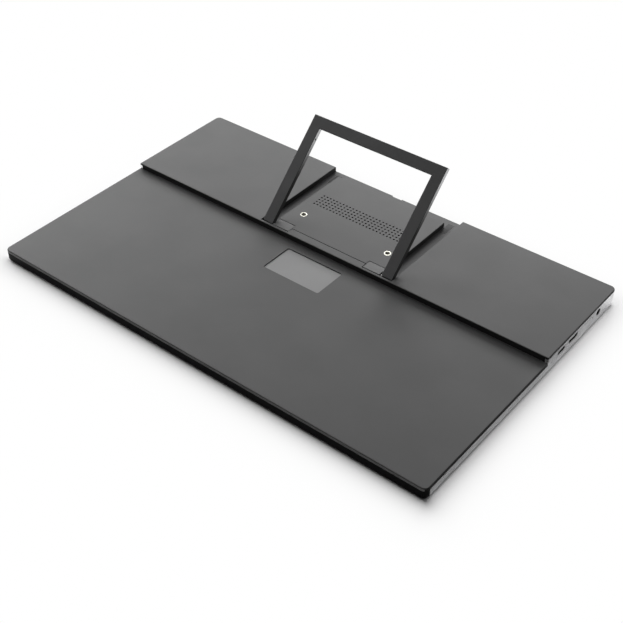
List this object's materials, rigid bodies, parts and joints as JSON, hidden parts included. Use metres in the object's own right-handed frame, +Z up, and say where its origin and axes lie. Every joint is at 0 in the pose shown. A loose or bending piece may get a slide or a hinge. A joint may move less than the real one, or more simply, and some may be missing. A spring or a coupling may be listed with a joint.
{
  "type": "portable monitor",
  "caption": "Slim portable monitor with a stepped back, a fold-out U-shaped kickstand in a groove, a perforated centre plate with threaded inserts, side sockets and buttons.",
  "frame": {"origin": "on the surface that the screen side lies on, under the middle of the body", "axes": "+X along the body towards the side with the sockets, +Y towards the long edge that the monitor stands on in use, +Z up, out of the back"},
  "size_m": [0.36, 0.224, 0.0716],
  "materials": {
    "cover_grey": "fine matt grain, dark grey",
    "rail_silver": "satin silver",
    "trim_black": "matt black",
    "screen_glass": "anti-glare black",
    "film_white": "matt white",
    "guide_clear": "clear acrylic",
    "tray_steel": "plain sheet steel",
    "stand_dark": "dark anodised, satin",
    "hinge_grey": "satin mid grey",
    "steel": "plain steel",
    "brass": "turned brass",
    "insert_metal": "pale plated brass",
    "pad_rubber": "soft dark grey",
    "label_grey": "blank, light grey, satin",
    "board_green": "circuit board",
    "chip_black": "moulded package",
    "connector_cream": "moulded connector",
    "ribbon_amber": "flexible film",
    "light_white": "milky light pipe"
  },
  "bodies": {
    "monitor": {"rear_cover": "cover_grey", "centre_plate": "cover_grey", "thread_inserts": "insert_metal", "label_plate": "label_grey", "groove_pad_right": "pad_rubber", "groove_pad_left": "pad_rubber", "side_rail_right": "rail_silver", "side_rail_left": "rail_silver", "front_rail": "trim_black", "back_rail": "trim_black", "front_bezel": "trim_black", "lcd_cell": "screen_glass", "optical_films": "film_white", "light_guide": "guide_clear", "backlight_strip": "film_white", "panel_tray": "tray_steel", "driver_board": "board_green", "driver_films": "ribbon_amber", "hinge_block_right": "hinge_grey", "hinge_block_left": "hinge_grey", "hinge_bush_right": "brass", "hinge_bush_left": "brass", "hinge_bracket_right": "steel", "hinge_bracket_left": "steel", "hinge_screws": "steel", "speaker_right": "chip_black", "speaker_left": "chip_black", "speaker_lead": "ribbon_amber", "main_board": "board_green", "button_board": "board_green", "board_spacers": "brass", "board_screws": "steel", "controller_chip": "chip_black", "power_shield": "tray_steel", "power_coils": "chip_black", "ribbon_sockets": "connector_cream", "panel_ribbon": "ribbon_amber", "button_ribbon": "ribbon_amber", "usb_socket": "steel", "video_socket": "steel", "audio_jack": "chip_black", "status_light": "light_white", "button_switches": "chip_black"},
    "kickstand": {"kickstand": "stand_dark", "hinge_pin_right": "steel", "hinge_pin_left": "steel"},
    "power_button": {"power_button": "trim_black"},
    "menu_up_button": {"menu_up_button": "trim_black"},
    "menu_down_button": {"menu_down_button": "trim_black"}
  },
  "joints": [
    {"name": "kickstand_fold", "type": "hinge", "parent": "monitor", "child": "kickstand", "pos_m": [0, 0.0265, 0.0108], "axis": [1, 0, 0], "range_deg": [-44.4, 45.6]},
    {"name": "power_button_press", "type": "slide", "parent": "monitor", "child": "power_button", "axis": [1, 0, 0], "range_m": [0, 0.0005], "stiffness_N_per_m": 2000},
    {"name": "menu_up_button_press", "type": "slide", "parent": "monitor", "child": "menu_up_button", "axis": [1, 0, 0], "range_m": [0, 0.0005], "stiffness_N_per_m": 2000},
    {"name": "menu_down_button_press", "type": "slide", "parent": "monitor", "child": "menu_down_button", "axis": [1, 0, 0], "range_m": [0, 0.0005], "stiffness_N_per_m": 2000}
  ]
}
